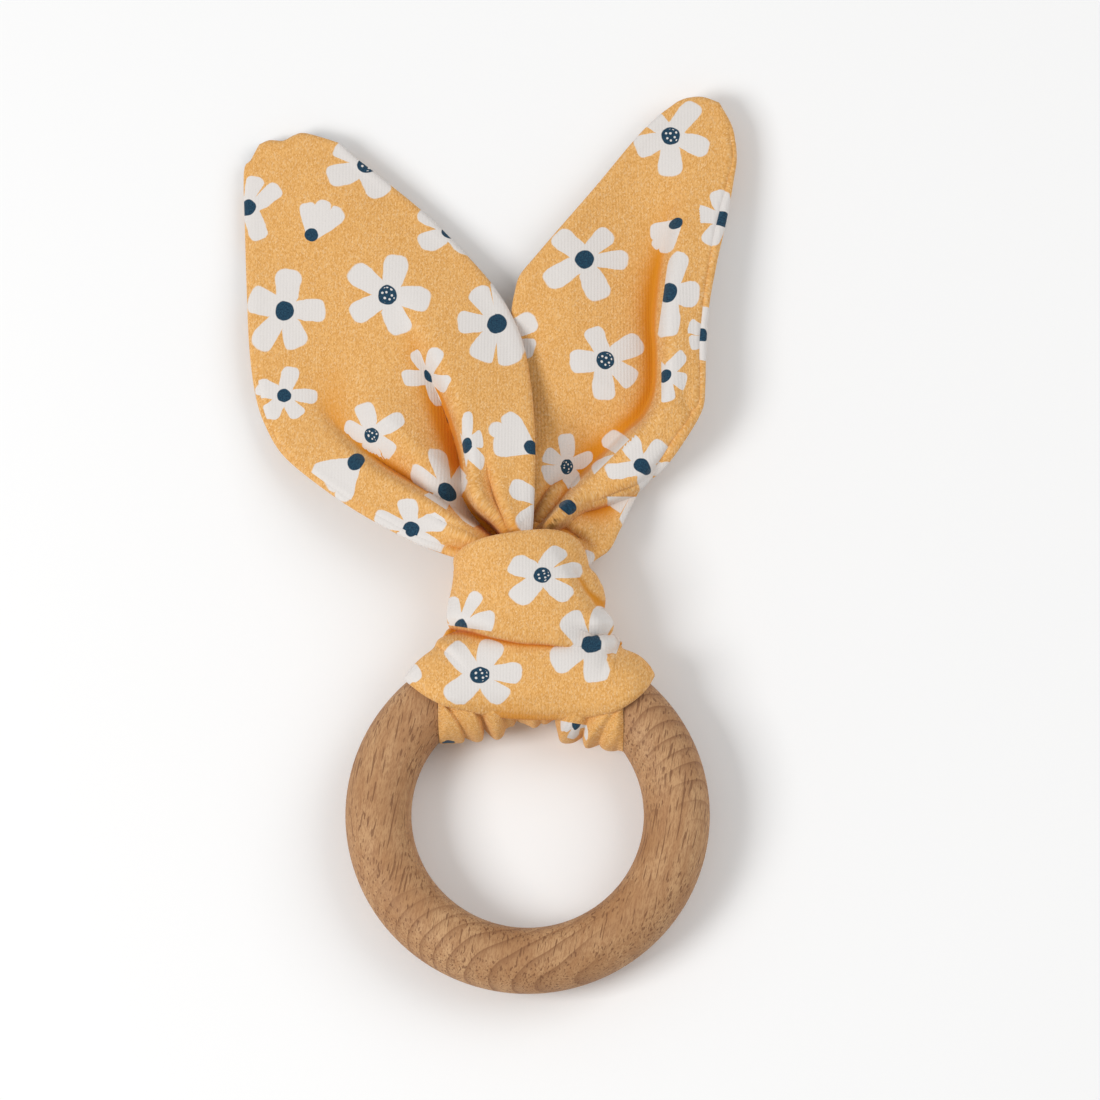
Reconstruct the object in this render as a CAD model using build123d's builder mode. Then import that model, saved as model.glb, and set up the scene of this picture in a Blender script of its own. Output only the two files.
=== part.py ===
from build123d import *
import os

# Bunny-ear teething ring: a turned beech ring with one leaf-ended jersey strip tied round it.
#
# Millimetres, lying on its back. The origin is the centre of the ring in the ring's middle plane.
# +Z is the ring's axis and points up, away from the surface it lies on. +Y runs from the ring
# towards the ears, and +X is to the right, seen from above.

os.makedirs("parts", exist_ok=True)

# Wooden ring
ring_outer = 70.0                                   # across the ring
section_radius = 6.35                               # radius of the turned section
ring_radius = ring_outer / 2 - section_radius       # to the middle of the section

# Gathered cloth round the ring, thicker on the side of the hole, where it bunches
body_gap = 0.3                                      # clear space between cloth bodies
wrap_start, wrap_end = 40.0, 134.0                  # degrees round the ring from +X
wrap_centre = ring_radius - 1.75                    # middle of the bunched section
wrap_half_width = 9.7
wrap_half_height = 7.9
cloth_layer = 1.0                                   # one layer of brushed jersey as it lies

# Front skirt over the ring
skirt_lift = 0.3                                    # clear of the wrap under it
skirt_cloth = 1.1
skirt_left = (-23.8, 24.8)
skirt_right = (24.4, 25.1)
skirt_lowest = (0.3, 18.0)
skirt_top = 34.6
skirt_top_half_width = 16.0
skirt_corner = 3.0                                  # rounding of its top corners
skirt_overlap = 15.0                                # degrees it may reach past the wrap at each end

# Knot
knot_height = 2.1                                   # its middle above the ring's middle plane
knot_wall = 2.0                                     # the strip's two layers, wrapped round
knot_fit = 0.1                                      # between the band and what is inside it
knot_stations = [                                   # along Y, half-width, half-height
    (32.0, 14.4, 9.5),
    (38.0, 14.7, 9.9),
    (46.0, 14.7, 10.0),
    (54.5, 13.2, 9.2),
]
core_top = 46.3
tip_clearance = 10.6                                # round the hinge line, in the middle
tip_clearance_side = 13.2                           # and at the knot's sides
knot_reach = 16.0                                   # beyond the knot's half-width

# Ears
ear_fold_y = 59.5                                   # the line across both ears where they fold
ear_fold_z = 0.5
fold_radius = 2.2                                   # half the bunched thickness at that line
root_y = 51.0                                       # where each ear turns sideways
root_x = 4.5
root_radius = 3.8
root_half_height = 3.7
stem_top = 56.0
stem_overlap = 0.5                                  # between the stem and the folded part
left_fold = (-1.0, -25.0)                           # along X, from the knot's middle outwards
right_fold = (1.0, 18.0)
ear_base = ear_fold_y + fold_radius + 2 * body_gap
panel_gap = 0.45                                    # between an ear's two panels
seam_thickness = 0.35                               # edge-seam thread lying in that gap
seam_inset = 1.4                                    # from the rim
seam_width = 0.9
ear_reach = 110.0
ear_depth = 14.0
left_middle, left_heading, left_droop = -10.0, 118.0, 3.0       # at the fold; degrees from +X; degrees
right_middle, right_heading, right_droop = 10.5, 74.0, 3.5
left_bow = 90.0                                     # radius of the left ear's dome
right_bow = -60.0                                   # radius of the right ear's trough


def radial_plane(angle):
    """Plane through the ring's axis: its X points out at this angle, its Y is up."""
    outward = Vector(1, 0, 0).rotate(Axis.Z, angle)
    return Plane(origin=(0, 0, 0), x_dir=outward, z_dir=outward.rotate(Axis.Z, -90))


def save(piece, name):
    piece.part.label = name
    export_step(piece.part, f"parts/{name}.step")


# The ring: a round section turned about Z
with BuildPart() as wooden_ring:
    with BuildSketch(Plane.XZ):
        with Locations((ring_radius, 0)):
            Circle(section_radius)
    revolve(axis=Axis.Z)

save(wooden_ring, "wooden_ring")

# The strip where it passes round the ring, gathered into folds
with BuildPart() as ring_wrap:
    with BuildSketch(radial_plane(wrap_start)):
        with Locations((wrap_centre, 0)):
            Ellipse(wrap_half_width, wrap_half_height)
        with Locations((ring_radius, 0)):
            Circle(section_radius + body_gap, mode=Mode.SUBTRACT)
    revolve(axis=Axis.Z, revolution_arc=wrap_end - wrap_start)

save(ring_wrap, "ring_wrap")

# The flared flap that lies over the front of the ring, below the knot
with BuildPart() as front_skirt:
    with BuildSketch(radial_plane(wrap_start - skirt_overlap)):
        with Locations((wrap_centre, 0)):
            lift = skirt_lift + skirt_cloth
            Ellipse(wrap_half_width + lift, wrap_half_height + lift)
            Ellipse(wrap_half_width + skirt_lift, wrap_half_height + skirt_lift, mode=Mode.SUBTRACT)
    revolve(axis=Axis.Z, revolution_arc=wrap_end - wrap_start + 2 * skirt_overlap)
    with BuildSketch() as skirt_outline:
        with BuildLine():
            ThreePointArc(skirt_left, skirt_lowest, skirt_right)
            Polyline(
                skirt_right,
                (skirt_top_half_width, skirt_top),
                (-skirt_top_half_width, skirt_top),
                skirt_left,
            )
        make_face()
        fillet(skirt_outline.vertices().group_by(Axis.Y)[-1], skirt_corner)
    extrude(amount=ear_depth, mode=Mode.INTERSECT)

save(front_skirt, "front_skirt")


def knot_barrel(inset):
    """Barrel along Y through the knot's stations, this far inside its outer surface."""
    with BuildPart() as barrel:
        for y, half_width, half_height in knot_stations:
            with BuildSketch(Plane.XZ.offset(-y)):
                with Locations((0, knot_height)):
                    Ellipse(half_width - inset, half_height - inset)
        loft()
    return barrel.part


def tip_space():
    """Space round the hinge line at the knot's lower end, so that the knot can tip over the ring."""
    left = (-knot_reach, ring_radius + tip_clearance_side)
    middle = (0, ring_radius + tip_clearance)
    right = (knot_reach, ring_radius + tip_clearance_side)
    with BuildPart() as space:
        with BuildSketch():
            with BuildLine():
                ThreePointArc(left, middle, right)
                Polyline(right, (knot_reach, ring_radius), (-knot_reach, ring_radius), left)
            make_face()
        revolve(axis=Axis((0, ring_radius, 0), (1, 0, 0)))
    return space.part


# The band of cloth that wraps round the knot
with BuildPart() as knot_band:
    add(knot_barrel(0))
    add(knot_barrel(knot_wall), mode=Mode.SUBTRACT)
    add(tip_space(), mode=Mode.SUBTRACT)

save(knot_band, "knot_band")

# The strip's two ends where they are pulled through the band
with BuildPart() as knot_core:
    add(knot_barrel(knot_wall + knot_fit))
    add(tip_space(), mode=Mode.SUBTRACT)
    split(bisect_by=Plane.XZ.offset(-core_top), keep=Keep.TOP)

save(knot_core, "knot_core")


def ear_neck(name, side, fold):
    """Bunched foot of an ear: a root that turns in the knot, a stem, and the fold across the ear."""
    fold_start, fold_end = fold
    fold_length = abs(fold_end - fold_start)
    fold_middle = (fold_start + fold_end) / 2
    with BuildPart() as neck:
        with BuildSketch(Plane.XY.offset(knot_height - root_half_height)):
            with Locations((side * root_x, root_y)):
                Circle(root_radius)
            with Locations((side * root_x, (root_y + stem_top) / 2)):
                Rectangle(2 * root_radius, stem_top - root_y)
        extrude(amount=2 * root_half_height)
        with BuildSketch(Plane.XY.offset(ear_fold_z - fold_radius)):
            with BuildLine():
                Polyline(
                    (side * (root_x - root_radius), stem_top - stem_overlap),
                    (fold_start, ear_fold_y),
                    (fold_end, ear_fold_y),
                    (side * (root_x + root_radius), stem_top - stem_overlap),
                    close=True,
                )
            make_face()
        extrude(amount=2 * fold_radius)
        with Locations((fold_middle, ear_fold_y, ear_fold_z)):
            Cylinder(fold_radius, fold_length, rotation=(0, 90, 0))
    save(neck, name)


ear_neck("left_ear_neck", -1, left_fold)
ear_neck("right_ear_neck", 1, right_fold)


def ear_frame(across_middle, heading, droop):
    """Plane across an ear at the fold: X runs across the ear, Y is up, and -Z runs along it."""
    along = Vector(1, 0, 0).rotate(Axis.Z, heading)
    across = along.rotate(Axis.Z, -90)
    along = along.rotate(Axis((0, 0, 0), across), -droop)
    return Plane(origin=(across_middle, ear_fold_y, ear_fold_z), x_dir=across, z_dir=-along)


def ear_sheet(name, outline, frame, bow, low, high, rim_width=None):
    """One layer of an ear, from low to high above its middle surface.

    The sheet bows across the ear with radius bow: a positive bow is a dome, a negative one a trough.
    A layer with a rim_width is only a line of that width, just inside the outline.
    """
    radii = sorted((abs(bow + low), abs(bow + high)))
    with BuildPart() as sheet:
        with BuildSketch(Plane.XY.offset(-ear_depth)):
            if rim_width is None:
                add(outline)
            else:
                offset(outline, amount=-seam_inset, mode=Mode.ADD)
                offset(outline, amount=-seam_inset - rim_width, mode=Mode.SUBTRACT)
        extrude(amount=2 * ear_depth)
        with BuildSketch(frame):
            with Locations((0, -bow)):
                Circle(radii[1])
                Circle(radii[0], mode=Mode.SUBTRACT)
        extrude(amount=-ear_reach, mode=Mode.INTERSECT)
    save(sheet, name)


with BuildSketch() as left_outline:
    with BuildLine():
        FilletPolyline(
            (-0.6, ear_base),
            (-34.0, ear_base),
            (-54.5, 80.0),
            (-55.2, 131.0),
            (-42.0, 137.6),
            (-0.6, 99.5),
            radius=(1, 8, 30, 8, 9, 35),
            close=True,
        )
    make_face()

with BuildSketch() as right_outline:
    with BuildLine():
        FilletPolyline(
            (0.3, ear_base),
            (0.3, 109.3),
            (30.5, 144.0),
            (40.2, 143.4),
            (40.7, 128.0),
            (34.3, 99.0),
            (34.3, 76.0),
            (21.5, ear_base),
            radius=(1, 6, 6, 6, 25, 30, 12, 1),
            close=True,
        )
    make_face()

ears = [
    ("left_ear", left_outline.sketch, ear_frame(left_middle, left_heading, left_droop), left_bow),
    ("right_ear", right_outline.sketch, ear_frame(right_middle, right_heading, right_droop), right_bow),
]
for ear, outline, frame, bow in ears:
    face = panel_gap / 2
    ear_sheet(f"{ear}_front_panel", outline, frame, bow, face, face + cloth_layer)
    ear_sheet(f"{ear}_back_panel", outline, frame, bow, -face - cloth_layer, -face)
    half_seam = seam_thickness / 2
    ear_sheet(f"{ear}_edge_seam", outline, frame, bow, -half_seam, half_seam, seam_width)
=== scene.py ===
import math

import bpy
import numpy as np
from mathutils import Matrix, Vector


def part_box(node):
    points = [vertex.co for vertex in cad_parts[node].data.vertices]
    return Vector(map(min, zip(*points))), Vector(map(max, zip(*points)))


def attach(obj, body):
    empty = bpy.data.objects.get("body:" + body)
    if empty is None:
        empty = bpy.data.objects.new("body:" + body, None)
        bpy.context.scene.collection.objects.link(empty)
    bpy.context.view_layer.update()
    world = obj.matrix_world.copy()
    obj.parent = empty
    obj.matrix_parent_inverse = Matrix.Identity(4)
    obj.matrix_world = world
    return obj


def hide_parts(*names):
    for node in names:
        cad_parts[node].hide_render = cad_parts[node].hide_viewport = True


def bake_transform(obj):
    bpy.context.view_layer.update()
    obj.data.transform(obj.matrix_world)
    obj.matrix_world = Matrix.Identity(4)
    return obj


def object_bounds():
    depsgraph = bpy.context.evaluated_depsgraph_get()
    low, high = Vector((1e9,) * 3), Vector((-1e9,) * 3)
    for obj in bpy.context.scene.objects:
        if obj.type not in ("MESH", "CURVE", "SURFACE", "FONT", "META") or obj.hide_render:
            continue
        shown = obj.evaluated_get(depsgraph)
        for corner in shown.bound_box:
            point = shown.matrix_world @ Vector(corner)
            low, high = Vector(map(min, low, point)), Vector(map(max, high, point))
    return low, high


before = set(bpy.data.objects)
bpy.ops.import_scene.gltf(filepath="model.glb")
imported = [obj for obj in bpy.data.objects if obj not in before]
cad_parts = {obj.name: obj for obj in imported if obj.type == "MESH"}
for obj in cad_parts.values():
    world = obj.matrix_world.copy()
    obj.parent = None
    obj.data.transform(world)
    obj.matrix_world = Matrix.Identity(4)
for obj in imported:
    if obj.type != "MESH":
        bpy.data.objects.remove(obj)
cad_low, cad_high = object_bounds()

# The print and the folds are laid out as the camera sees them, in millimetres from the ring's centre:
# x to the right and y up the picture. The camera looks down TILT degrees off the ring's axis.
MM = 0.001
TILT = math.radians(14.0)
PICTURE_WIDTH = 212.1
PICTURE_CENTRE = (4.3, 50.9)
CAMERA_DISTANCE = 3.0
SENSOR = 36.0

ring_low, ring_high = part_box("wooden_ring")
SECTION = (ring_high.z - ring_low.z) / 2 / MM
RING = (ring_high.x - ring_low.x) / 2 / MM - SECTION
wrap_low, wrap_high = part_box("ring_wrap")
band_low, band_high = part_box("knot_band")
FLOOR = cad_low.z


def smooth(x):
    x = np.clip(x, 0, 1)
    return x * x * (3 - 2 * x)


def rounded(x):
    """Rises from 0 to 1 like a quarter of a circle."""
    return np.sqrt(1 - (1 - np.clip(x, 0, 1)) ** 2)


def mound(p, x, y, wide, high):
    """A soft round hill of height 1 at picture points p."""
    return np.exp(-(((p[..., 0] - x) / wide) ** 2) - ((p[..., 1] - y) / high) ** 2)


def run_along(points, axis):
    """How far each point of an array lies from the first, following one axis of it."""
    steps = np.linalg.norm(np.diff(points, axis=axis), axis=-1)
    return np.insert(np.cumsum(steps, axis=axis), 0, 0, axis=axis)


def even(line, count):
    """The same line with its points evenly spaced."""
    run = run_along(line, 0)
    wanted = np.linspace(0, run[-1], count)
    return np.stack([np.interp(wanted, run, line[:, k]) for k in range(line.shape[1])], axis=1)


LINE_POINTS, RIM_POINTS = 240, 400


def curve(points, count):
    """A smooth curve through given points (Catmull-Rom), evenly spaced."""
    p = np.array(points, float)
    ends = np.vstack([2 * p[0] - p[1], p, 2 * p[-1] - p[-2]])
    t = np.linspace(0, 1, 24, endpoint=False)[:, None]
    spans = []
    for k in range(len(p) - 1):
        a, b, c, d = ends[k : k + 4]
        spans.append(0.5 * (2 * b + (c - a) * t + (2 * a - 5 * b + 4 * c - d) * t**2
                            + (3 * b - a - 3 * c + d) * t**3))
    return even(np.vstack([*spans, p[-1:]]), count)


def in_frame(x, y, z):
    """Picture coordinates at height z, all in mm, to a point of the frame in mm."""
    return np.stack([x, (y - z * math.sin(TILT)) / math.cos(TILT), z], axis=-1)


def in_picture(p):
    """A point of the frame in mm to picture coordinates."""
    return np.stack([p[..., 0], p[..., 1] * math.cos(TILT) + p[..., 2] * math.sin(TILT)], axis=-1)


def along_line(p, line):
    """For picture points: progress along a line, 0 to 1, distance to its left, and beyond its ends."""
    flat = p.reshape(-1, 2)
    tangent = np.gradient(line, axis=0)
    tangent /= np.linalg.norm(tangent, axis=1, keepdims=True)
    places = np.linspace(0, 1, len(line), dtype=np.float32)
    nearest, progress = [], []
    for part in np.array_split(flat.astype(np.float32), max(1, len(flat) // 4000)):
        away = ((part[:, None] - line[None].astype(np.float32)) ** 2).sum(2)
        nearest.append(np.argmin(away, axis=1))
        weight = np.exp((away.min(axis=1, keepdims=True) - away) / 4)
        progress.append((weight * places).sum(1) / weight.sum(1))
    nearest, progress = np.concatenate(nearest), np.concatenate(progress)
    off = flat - line[nearest]
    way = tangent[nearest]
    left = way[:, 0] * off[:, 1] - way[:, 1] * off[:, 0]
    ahead = (way * off).sum(1)
    beyond = np.where((nearest == 0) | (nearest == len(line) - 1), np.abs(ahead), 0)
    shape = p.shape[:-1]
    return progress.reshape(shape), left.reshape(shape), beyond.reshape(shape)


def fold(p, points, side, lift, sink, steep, ridge, valley, near=0.35, fade=0.3):
    """Height of one fold at picture points p. Its line starts at the knot.

    The cloth stands up by lift on one side of the line (side 1 is its left) and lies down by sink on
    the other. The step is steep mm wide; the ridge and the valley die away over their own widths. The
    fold is narrower near the knot, by the share near, and fades out over its far end.
    """
    progress, left, beyond = along_line(p, curve(points, LINE_POINTS))
    d = side * left
    scale = near + (1 - near) * progress
    step = 0.5 * (1 + np.tanh(d / (steep * scale)))
    up = lift * step * np.exp(-np.maximum(d, 0) / (ridge * scale))
    down = sink * (1 - step) * (1 - np.clip(-d / (valley * scale), 0, 1)) ** 1.4
    size = (1 - smooth((progress - fade) / (1 - fade))) * np.exp(-beyond / 3)
    return size * (up - down)


def groove(p, points, depth, width, fade=0.9):
    """A narrow line pressed into the cloth."""
    progress, left, beyond = along_line(p, curve(points, LINE_POINTS))
    size = (1 - smooth((progress - fade) / (1 - fade))) * np.exp(-((beyond / 0.6) ** 2))
    return -depth * size * np.exp(-((left / width) ** 2))


def normals_of(grid):
    """Unit normals of a grid of points, rows by columns."""
    across = np.gradient(grid, axis=1)
    along = np.gradient(grid, axis=0)
    n = np.cross(across, along)
    return n / np.maximum(np.linalg.norm(n, axis=2, keepdims=True), 1e-9)


def patch(left, right, bottom, top, across, up):
    """A grid that fills four curves; across and up are the places of its columns and rows, 0 to 1."""

    def pick(line, at):
        share = np.linspace(0, 1, len(line))
        return np.stack([np.interp(at, share, line[:, k]) for k in range(2)], axis=1)

    low, high = pick(bottom, across), pick(top, across)
    west, east = pick(left, up), pick(right, up)
    u, v = across[None, :, None], up[:, None, None]
    place = (1 - v) * low[None] + v * high[None] + (1 - u) * west[:, None] + u * east[:, None]
    corners = (1 - u) * (1 - v) * low[0] + u * (1 - v) * low[-1] + (1 - u) * v * high[0] + u * v * high[-1]
    return place - corners


def closer_at_ends(count, how_much):
    """Places from 0 to 1 that lie closer together at both ends."""
    x = np.linspace(0, 1, count)
    return x - how_much * np.sin(2 * math.pi * x) / (2 * math.pi)


def spread_up(coarse, rows, columns, shape):
    """Values on some rows and columns of a grid, brought to all of them."""
    wide = np.stack([
        np.stack([np.interp(np.arange(shape[1]), columns, line[:, k]) for k in range(2)], axis=1)
        for line in coarse
    ])
    return np.stack([
        np.stack([np.interp(np.arange(shape[0]), rows, wide[:, j, k]) for k in range(2)], axis=1)
        for j in range(shape[1])
    ], axis=1)


# The flat cloth is found on every FLAT_STRIDE-th row and column. In each round every point keeps a share
# of its speed and gains a share of the pull of its neighbours.
FLAT_STRIDE, FLAT_ROUNDS = 3, 900
KEPT_SPEED, GAINED_PULL = 0.94, 0.11


def flatten(grid):
    """Lays a grid of points out flat with its lengths kept, as the cloth was cut: mm in the flat."""
    rows, columns = (np.unique(np.append(np.arange(0, n, FLAT_STRIDE), n - 1)) for n in grid.shape[:2])
    solid = grid[np.ix_(rows, columns)]
    flat = in_picture(solid)
    steps = [((0, 0), (0, 1)), ((0, 0), (1, 0)), ((0, 0), (1, 1)), ((0, 1), (1, 0))]

    def ends(values, step):
        (i, j), (k, m) = step
        r, c = values.shape[0] - max(i, k), values.shape[1] - max(j, m)
        return values[i : i + r, j : j + c], values[k : k + r, m : m + c]

    wanted = [np.linalg.norm(np.subtract(*ends(solid, step)), axis=2) for step in steps]
    speed = np.zeros_like(flat)
    for _ in range(FLAT_ROUNDS):
        pull = np.zeros_like(flat)
        for step, length in zip(steps, wanted):
            first, second = ends(flat, step)
            gap = second - first
            size = np.maximum(np.linalg.norm(gap, axis=2), 1e-6)
            move = gap * ((size - length) / size)[..., None]
            one, other = ends(pull, step)
            one += move
            other -= move
        speed = KEPT_SPEED * speed + GAINED_PULL * pull
        flat = flat + speed
    return spread_up(flat, rows, columns, grid.shape[:2])


def rim_distance(grid, open_foot):
    """Distance over the surface from each point of a grid to the nearest sewn edge.

    All four edges are sewn, but for the first row where the foot is open.
    """
    up, across = run_along(grid, 0), run_along(grid, 1)
    edges = [up[-1:] - up, across, across[:, -1:] - across]
    return np.minimum.reduce(edges if open_foot else [up, *edges])


def rim_half(edge, half):
    """Half a double layer's thickness: round at the rim, fuller over the seam's turned-in edge."""
    allowance = 0.16 * np.exp(-(((edge - 2.0) / 1.4) ** 2))
    return half * rounded(edge / RIM_ROUND) + allowance * smooth(edge)


def grid_faces(index):
    """Quads of a grid of vertex numbers, rows by columns."""
    a, b = index[:-1, :-1], index[:-1, 1:]
    c, d = index[1:, 1:], index[1:, :-1]
    return np.stack([a, b, c, d], axis=2).reshape(-1, 4)


def evened(height, window, rounds):
    """A grid of heights with its small ups and downs evened out."""
    half = window // 2
    for _ in range(rounds):
        for axis in (0, 1):
            first, last = (height.take([k] * half, axis) for k in (0, -1))
            wide = np.concatenate([first, height, last], axis=axis)
            height = sum(wide.take(range(k, k + height.shape[axis]), axis) for k in range(window)) / window
    return height


def hollows(height):
    """How far each point of a grid of heights lies below its surroundings, near and wide, in mm."""
    return sum(0.6 * np.clip(evened(height, *reach) - height, 0, None) for reach in ((5, 30), (15, 10)))


DAISY, DOTTED, BUD, EYE = 0.0, 1.0, 2.0, 3.0
# a place without print, how far a bloom's print reaches (both in petal lengths), and how far from its
# centre the cloth's heading is read, in mm
EMPTY = 9.0
BLOOM_REACH = 1.5
CENTRE_REACH = 2.2
# how much of the folds' depth the flat lengths follow, and how much closer the print's seeds are on top
PRINT_DEPTH = 0.12
TOP_FIRST = 0.08


def bloom(x, y, radius, kind, petals, narrow=1.0, along=0.0, cut=None, reach=0.0):
    """One bloom of the print: picture place, size in mm, kind, and the headings of its petals in degrees.

    Gathered cloth makes it look narrow, by the share narrow, and long along one heading. Where a fold
    hides part of it, only what lies less than reach mm along the heading cut shows.
    """
    return dict(place=np.array([x, y]), radius=radius, kind=kind, petals=np.array(petals, float),
                narrow=narrow, along=along, cut=cut, reach=reach)


def heading(degrees):
    return np.stack([np.cos(np.radians(degrees)), np.sin(np.radians(degrees))], axis=-1)


def ungathered(local, narrow, along):
    """Places round a bloom as they'd be if the cloth lay open."""
    way, side = heading(along), heading(along + 90)
    return (local @ way)[:, None] * way + (local @ side)[:, None] / narrow * side


def petals_apart(local, petals):
    """Turns the cloth round a bloom so that petals at the headings given come to lie 72 degrees apart."""
    seen = np.mod(np.degrees(np.arctan2(local[:, 1], local[:, 0])), 360)
    if len(petals) == 1:
        turned = np.radians(seen - petals[0])
    else:
        at = np.sort(np.mod(petals, 360))
        gap = np.diff(np.append(at, at[0] + 360))
        free = np.minimum(18, np.minimum(gap, np.roll(gap, 1)) / 2 - 1)
        known = np.stack([at - free, at + free], axis=1).ravel()
        wanted = (72 * np.arange(5)[:, None] + np.stack([-free, free], axis=1)).ravel()
        turned = np.radians(np.interp(seen, np.concatenate([known - 360, known, known + 360]),
                                      np.concatenate([wanted - 360, wanted, wanted + 360])))
    return np.linalg.norm(local, axis=1)[:, None] * np.stack([np.cos(turned), np.sin(turned)], axis=1)


def print_on(faces, points, cloth, blooms):
    """Each face's corners in the coordinates of its nearest bloom, in petal lengths, and its kind."""
    corner = np.full((len(faces), 4, 3), EMPTY)
    kind = np.zeros((len(faces), 3))
    nearest = np.full(len(faces), EMPTY)
    picture = in_picture(points)
    used = np.unique(faces)
    for number, b in enumerate(blooms):
        seen = np.linalg.norm(picture[used] - b["place"], axis=1) - TOP_FIRST * points[used][:, 2]
        centre = used[np.argmin(seen)]
        around = used[np.linalg.norm(points[used] - points[centre], axis=1) < CENTRE_REACH]
        shift = cloth[around] - cloth[centre]
        close = np.linalg.norm(shift, axis=1) < 3
        if close.sum() < 6:
            continue
        step = np.linalg.lstsq(shift[close], picture[around[close]] - picture[centre], rcond=None)[0]
        turned = math.atan2(step[0, 1] - step[1, 0], step[0, 0] + step[1, 1])
        c, s = math.cos(turned), math.sin(turned)
        local = (cloth - cloth[centre]) @ np.array([[c, s], [-s, c]]) + picture[centre] - b["place"]
        petals = ungathered(heading(b["petals"]), b["narrow"], b["along"])
        petals = np.degrees(np.arctan2(petals[:, 1], petals[:, 0]))
        local = petals_apart(ungathered(local, b["narrow"], b["along"]), petals) / b["radius"]
        spread = local[faces]
        far = np.linalg.norm(spread.mean(axis=1), axis=1)
        mine = (far < nearest) & (far < BLOOM_REACH)
        beyond = np.full(len(points), -EMPTY)
        if b["cut"] is not None:
            beyond = (picture - b["place"]) @ heading(b["cut"]) - b["reach"]
            mine &= beyond[faces].min(axis=1) < 0
        nearest[mine] = far[mine]
        corner[mine, :, :2] = spread[mine]
        corner[mine, :, 2] = beyond[faces][mine]
        kind[mine] = (b["kind"], number * 0.37 + 0.13, 0)
    return corner, kind


def scatter(low, high, spacing, seed):
    """Blooms strewn over a stretch of picture, for the sides that the camera doesn't see."""
    chance = np.random.default_rng(seed)
    blooms = []
    for row, y in enumerate(np.arange(low[1], high[1], spacing * 0.9)):
        for x in np.arange(low[0] + (row % 2) * spacing / 2, high[0], spacing):
            place = chance.uniform(-0.16, 0.16, 2) * spacing
            size = chance.choice([5.6, 6.6, 8.0])
            what = chance.choice([DAISY, DOTTED, BUD], p=[0.45, 0.35, 0.2])
            first = chance.uniform(0, 360)
            petals = [first] if what == BUD else first + 72 * np.arange(5) + chance.uniform(-11, 11, 5)
            blooms.append(bloom(x + place[0], y + place[1], size, what, petals))
    return blooms


def add_object(name, data):
    made = bpy.data.objects.new(name, data)
    bpy.context.scene.collection.objects.link(made)
    return made


def make_piece(name, points, faces, cloth, hollow, corner, kind):
    """A smooth-shaded jersey mesh in metres with its cloth coordinates, its hollows for painted shade and
    its print.
    """
    used, faces = np.unique(faces, return_inverse=True)
    mesh = bpy.data.meshes.new(name)
    mesh.from_pydata((points[used] * MM).tolist(), [], faces.reshape(-1, 4).tolist())
    mesh.polygons.foreach_set("use_smooth", np.ones(len(mesh.polygons), bool))
    lengths = np.column_stack([cloth, hollow])[used]
    layers = (("cloth", "POINT", lengths), ("print", "CORNER", corner), ("bloom", "FACE", kind))
    for layer, domain, values in layers:
        made = mesh.attributes.new(layer, "FLOAT_VECTOR", domain)
        made.data.foreach_set("vector", values.astype(np.float32).ravel())
    mesh.materials.append(jersey)
    mesh.update()
    return add_object(name, mesh)


def cloth_area(grid):
    """Area in square metres of the cloth that a grid of points in mm stands for."""
    p, q = grid[1:, 1:] - grid[:-1, :-1], grid[1:, :-1] - grid[:-1, 1:]
    return float(np.linalg.norm(np.cross(p, q), axis=2).sum() / 2 * MM * MM)


def two_panels(name, middle, half, open_foot, front_blooms, back_blooms, deep):
    """A double layer of cloth round a middle surface: two panels that meet at their rims.

    middle is a grid of points and half its half-thickness. An open foot, which is the first row, isn't
    sewn but closed with a strip. deep is how far the front lies in a hollow, in mm; it darkens the front's
    colour as painted shade.
    """
    rows, columns = middle.shape[:2]
    normal = normals_of(middle)
    front = middle + normal * half[..., None]
    back = middle - normal * half[..., None]
    seen = in_picture(middle)
    lengths = flatten(in_frame(seen[..., 0], seen[..., 1], PRINT_DEPTH * middle[..., 2]))
    index = np.arange(rows * columns).reshape(rows, columns)
    under = index + rows * columns
    for edge in (np.s_[-1], np.s_[:, 0], np.s_[:, -1], *([] if open_foot else [np.s_[0]])):
        under[edge] = index[edge]
    top = grid_faces(index)
    bottom = grid_faces(under)[:, ::-1]
    points = np.concatenate([front.reshape(-1, 3), back.reshape(-1, 3)])
    cloth = np.concatenate([lengths.reshape(-1, 2)] * 2)
    faces = [top, bottom]
    printed = [print_on(top, points, cloth, front_blooms), print_on(bottom, points, cloth, back_blooms)]
    if open_foot:
        strip = np.stack([under[0, :-1], under[0, 1:], index[0, 1:], index[0, :-1]], axis=1)
        faces.append(strip)
        printed.append((np.full((len(strip), 4, 3), EMPTY), np.zeros((len(strip), 3))))
    faces = np.concatenate(faces)
    keep = np.array([len(set(f)) == 4 for f in faces])
    corner, kind = (np.concatenate(parts)[keep] for parts in zip(*printed))
    hollow = np.concatenate([deep.ravel(), np.zeros(deep.size)])
    return make_piece(name, points, faces[keep], cloth, hollow, corner, kind), cloth_area(middle)


# ---------------------------------------------------------------- materials


class Value:
    """A number in a material's nodes. What is done to it adds the nodes that work out a new one."""

    def __init__(self, socket):
        self.socket = socket

    def maths(self, operation, b=0.0, c=0.0, clamp=False):
        return maths(self, operation, b, c, clamp)

    def times_plus(self, factor, more):
        return maths(self, "MULTIPLY_ADD", factor, more)

    def ramp(self, low, high):
        """0 below low, 1 above high, smooth between."""
        made = node(tree_of(self), "ShaderNodeMapRange", {0: self, 1: low, 2: high, 3: 0.0, 4: 1.0},
                    interpolation_type="SMOOTHSTEP")
        return Value(made.outputs[0])

    def __add__(self, other):
        return maths(self, "ADD", other)

    def __sub__(self, other):
        return maths(self, "SUBTRACT", other)

    def __rsub__(self, other):
        return maths(other, "SUBTRACT", self)

    def __mul__(self, other):
        return maths(self, "MULTIPLY", other)

    def __truediv__(self, other):
        return maths(self, "DIVIDE", other)


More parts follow.
